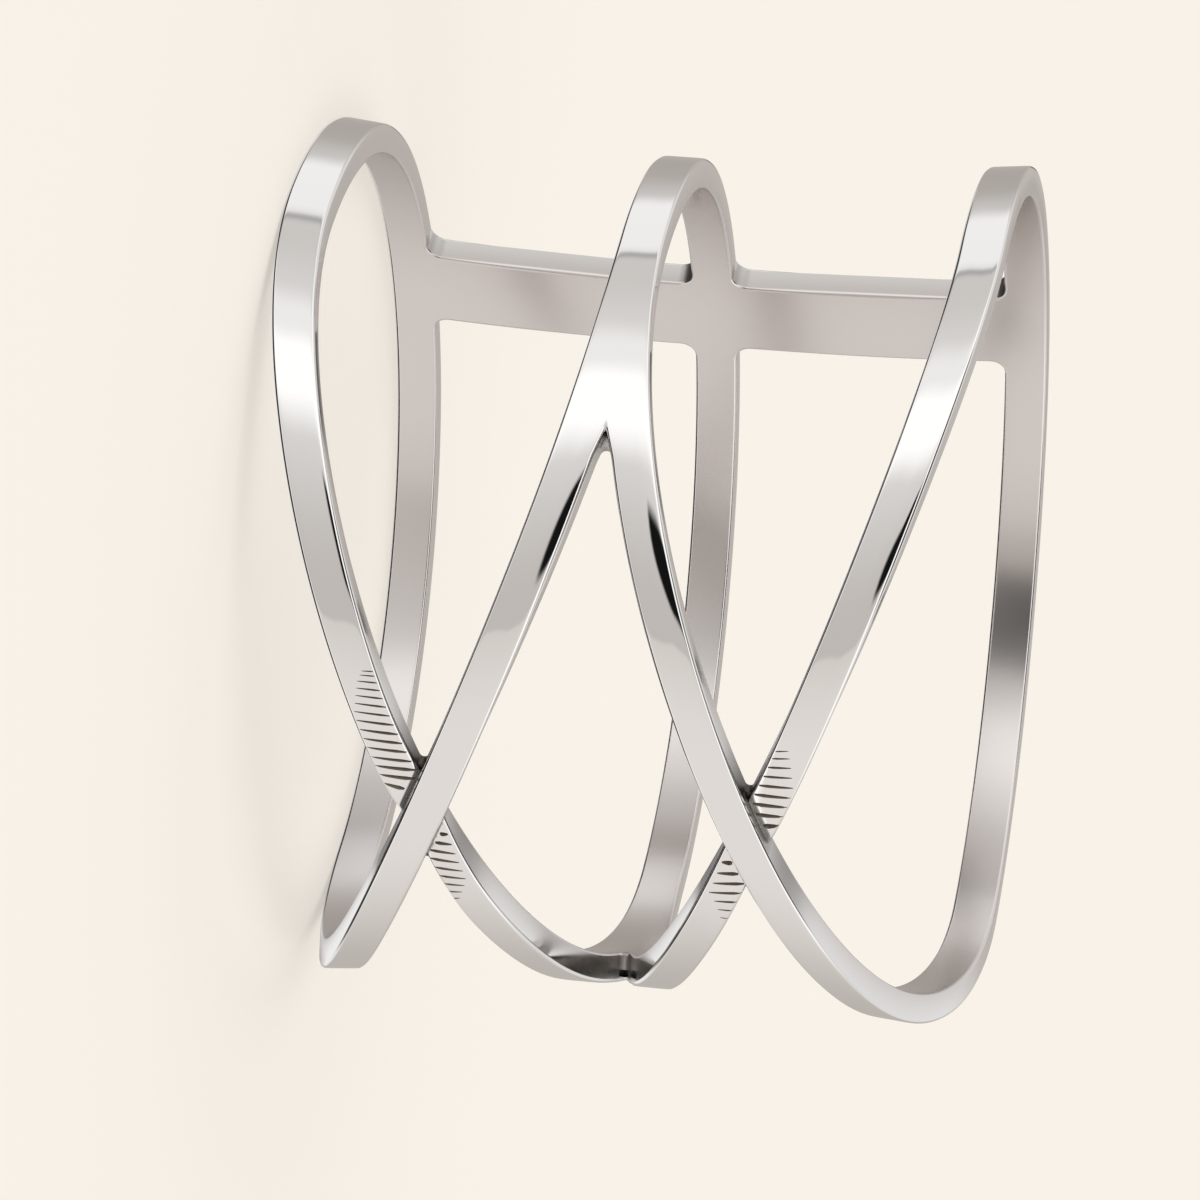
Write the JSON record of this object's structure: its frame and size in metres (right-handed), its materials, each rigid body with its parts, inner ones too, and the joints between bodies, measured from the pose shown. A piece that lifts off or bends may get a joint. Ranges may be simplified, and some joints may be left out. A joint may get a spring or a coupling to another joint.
{
  "type": "multi-band ring",
  "caption": "Openwork finger ring: parallel hoops joined by a bar at the back, opening in front into flat strands that cross over and under, with engraved hatching beside the crossings.",
  "frame": {"origin": "on the axis of the finger hole, in the plane of the lower end hoop's end face", "axes": "+Z along the axis of the finger hole, -Y towards the crossings on the front, so the bar across the back is at +Y; the lower strand of the lower crossing comes from the -X side of the lower end hoop"},
  "size_m": [0.0194, 0.0191, 0.0156],
  "materials": {
    "polished_silver": "mirror polished"
  },
  "bodies": {
    "root": {"ring": "polished_silver"}
  },
  "joints": []
}
